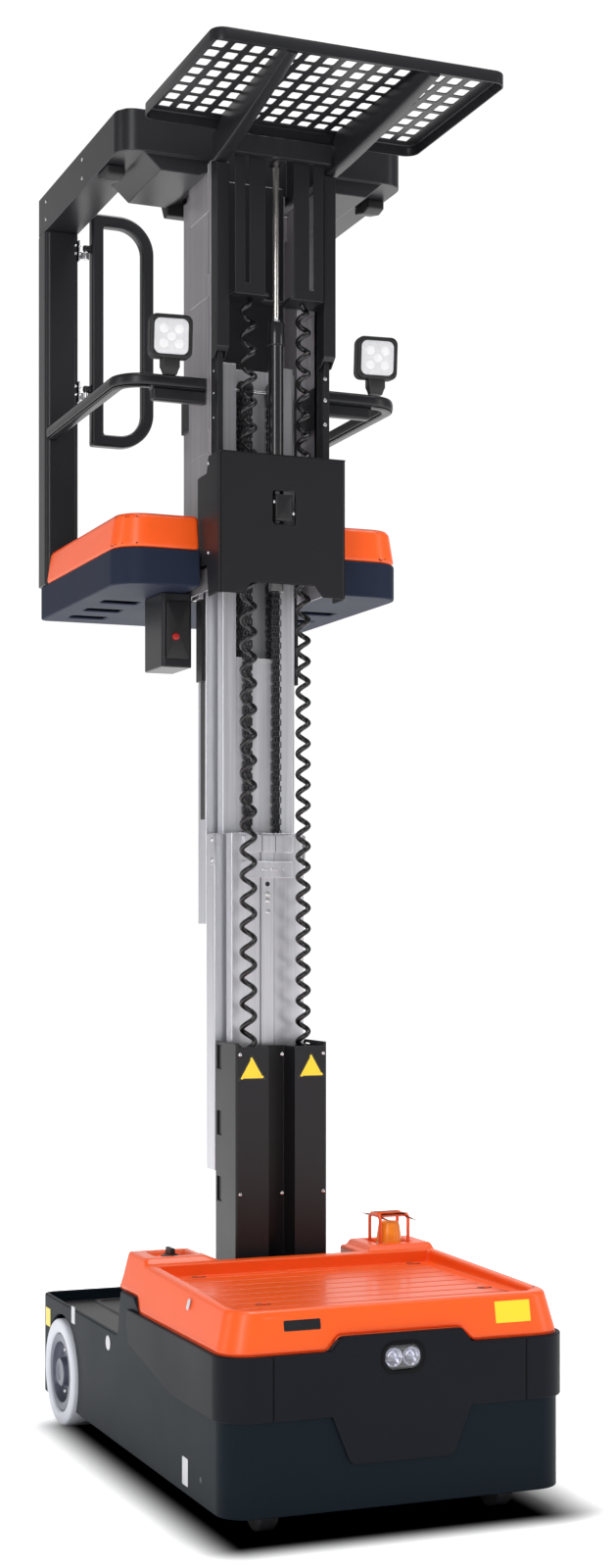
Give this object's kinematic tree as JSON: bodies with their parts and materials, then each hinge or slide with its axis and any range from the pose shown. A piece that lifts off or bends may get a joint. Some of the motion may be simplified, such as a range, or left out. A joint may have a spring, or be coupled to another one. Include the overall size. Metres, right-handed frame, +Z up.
{
  "type": "order picker truck",
  "caption": "Compact electric order picker truck with a nested telescopic mast, a raised operator platform with swing gates and a powered load tray in front.",
  "frame": {"origin": "on the floor under the middle of the truck's overall length and width", "axes": "+Z up, -Y towards the load tray and deck end, +X to the right seen from the load tray end looking towards the platform"},
  "size_m": [0.75, 1.45, 3.001],
  "materials": {
    "orange_cover": "moulded, light grain",
    "base_black": "powder coat",
    "frame_black": "powder coat",
    "cover_black": "grained",
    "mast_silver": "extruded, anodised",
    "orange_steel": "powder coat",
    "chrome": "polished",
    "steel": "zinc plated",
    "amber": "clear amber",
    "tyre_grey": "polyurethane",
    "hub_grey": "painted",
    "rubber_black": "ribbed",
    "battery_grey": "plain",
    "cover_grey": "grained",
    "lamp_black": "fine",
    "cord_black": "satin"
  },
  "bodies": {
    "chassis": {"base_shell": "base_black", "base_frame": "frame_black", "front_band": "cover_black", "headlamp": "lamp_black", "deck_cover": "orange_cover", "deck_knob": "cover_black", "beacon": "amber", "beacon_guard": "orange_steel", "battery_block": "battery_grey", "rear_cover": "cover_grey", "drive_units": "frame_black", "mast_base": "frame_black", "mast_shield": "frame_black", "coil_cord_left": "cord_black", "coil_cord_right": "cord_black"},
    "drive_wheel_left": {"drive_tyre_left": "tyre_grey", "drive_hub_left": "hub_grey"},
    "drive_wheel_right": {"drive_tyre_right": "tyre_grey", "drive_hub_right": "hub_grey"},
    "caster_left": {"caster_fork_left": "steel"},
    "caster_right": {"caster_fork_right": "steel"},
    "caster_roller_left": {"caster_wheel_left": "tyre_grey"},
    "caster_roller_right": {"caster_wheel_right": "tyre_grey"},
    "mast_stage_2": {"stage_2": "mast_silver"},
    "mast_stage_3": {"stage_3": "mast_silver", "lift_chains": "steel"},
    "carriage": {"carriage_column": "mast_silver", "carriage_rails": "frame_black", "cover_panels": "frame_black", "front_box": "frame_black", "platform_pan": "frame_black", "platform_rim": "orange_cover", "platform_mat": "rubber_black", "control_box": "cover_black", "rear_posts": "frame_black", "console": "cover_black", "control_panel": "cover_black", "corner_lamps": "lamp_black", "handrails": "frame_black", "work_lamps": "lamp_black", "tray_cylinder": "frame_black", "gate_hinges": "steel"},
    "gate_leaf_left": {"gate_left": "frame_black"},
    "gate_leaf_right": {"gate_right": "frame_black"},
    "load_tray": {"tray_grid": "frame_black", "tray_arms": "frame_black", "tray_slides": "frame_black", "cylinder_rod": "chrome"}
  },
  "joints": [
    {"name": "drive_left_spin", "type": "hinge", "parent": "chassis", "child": "drive_wheel_left", "pos_m": [-0.335, 0.425, 0.125], "axis": [1, 0, 0], "continuous": true},
    {"name": "caster_left_swivel", "type": "hinge", "parent": "chassis", "child": "caster_left", "pos_m": [-0.255, -0.585, 0.15], "axis": [0, 0, 1], "continuous": true},
    {"name": "caster_left_spin", "type": "hinge", "parent": "caster_left", "child": "caster_roller_left", "pos_m": [-0.255, -0.613, 0.055], "axis": [1, 0, 0], "continuous": true},
    {"name": "drive_right_spin", "type": "hinge", "parent": "chassis", "child": "drive_wheel_right", "pos_m": [0.335, 0.425, 0.125], "axis": [1, 0, 0], "continuous": true},
    {"name": "caster_right_swivel", "type": "hinge", "parent": "chassis", "child": "caster_right", "pos_m": [0.255, -0.585, 0.15], "axis": [0, 0, 1], "continuous": true},
    {"name": "caster_right_spin", "type": "hinge", "parent": "caster_right", "child": "caster_roller_right", "pos_m": [0.255, -0.613, 0.055], "axis": [1, 0, 0], "continuous": true},
    {"name": "carriage_lift", "type": "slide", "parent": "chassis", "child": "carriage", "axis": [0, 0, 1], "range_m": [-1.654, 0.15], "deforming": ["coil_cord_left", "coil_cord_right"]},
    {"name": "stage_2_slide", "type": "slide", "parent": "chassis", "child": "mast_stage_2", "axis": [0, 0, 1], "range_m": [-0.5533, 0.052]},
    {"name": "stage_3_slide", "type": "slide", "parent": "chassis", "child": "mast_stage_3", "axis": [0, 0, 1], "range_m": [-1.1047, 0.102]},
    {"name": "tray_lift", "type": "slide", "parent": "carriage", "child": "load_tray", "axis": [0, 0, 1], "range_m": [-0.29, 0.1]},
    {"name": "gate_left_swing", "type": "hinge", "parent": "carriage", "child": "gate_leaf_left", "pos_m": [-0.24, 0.66, 2.69], "axis": [0, 0, 1], "range_deg": [-90, 0]},
    {"name": "gate_right_swing", "type": "hinge", "parent": "carriage", "child": "gate_leaf_right", "pos_m": [0.24, 0.66, 2.69], "axis": [0, 0, 1], "range_deg": [0, 90]}
  ],
  "couplings": [
    {"joint": "stage_2_slide", "follows": "carriage_lift", "ratio": 0.33333},
    {"joint": "stage_3_slide", "follows": "carriage_lift", "ratio": 0.66667}
  ]
}
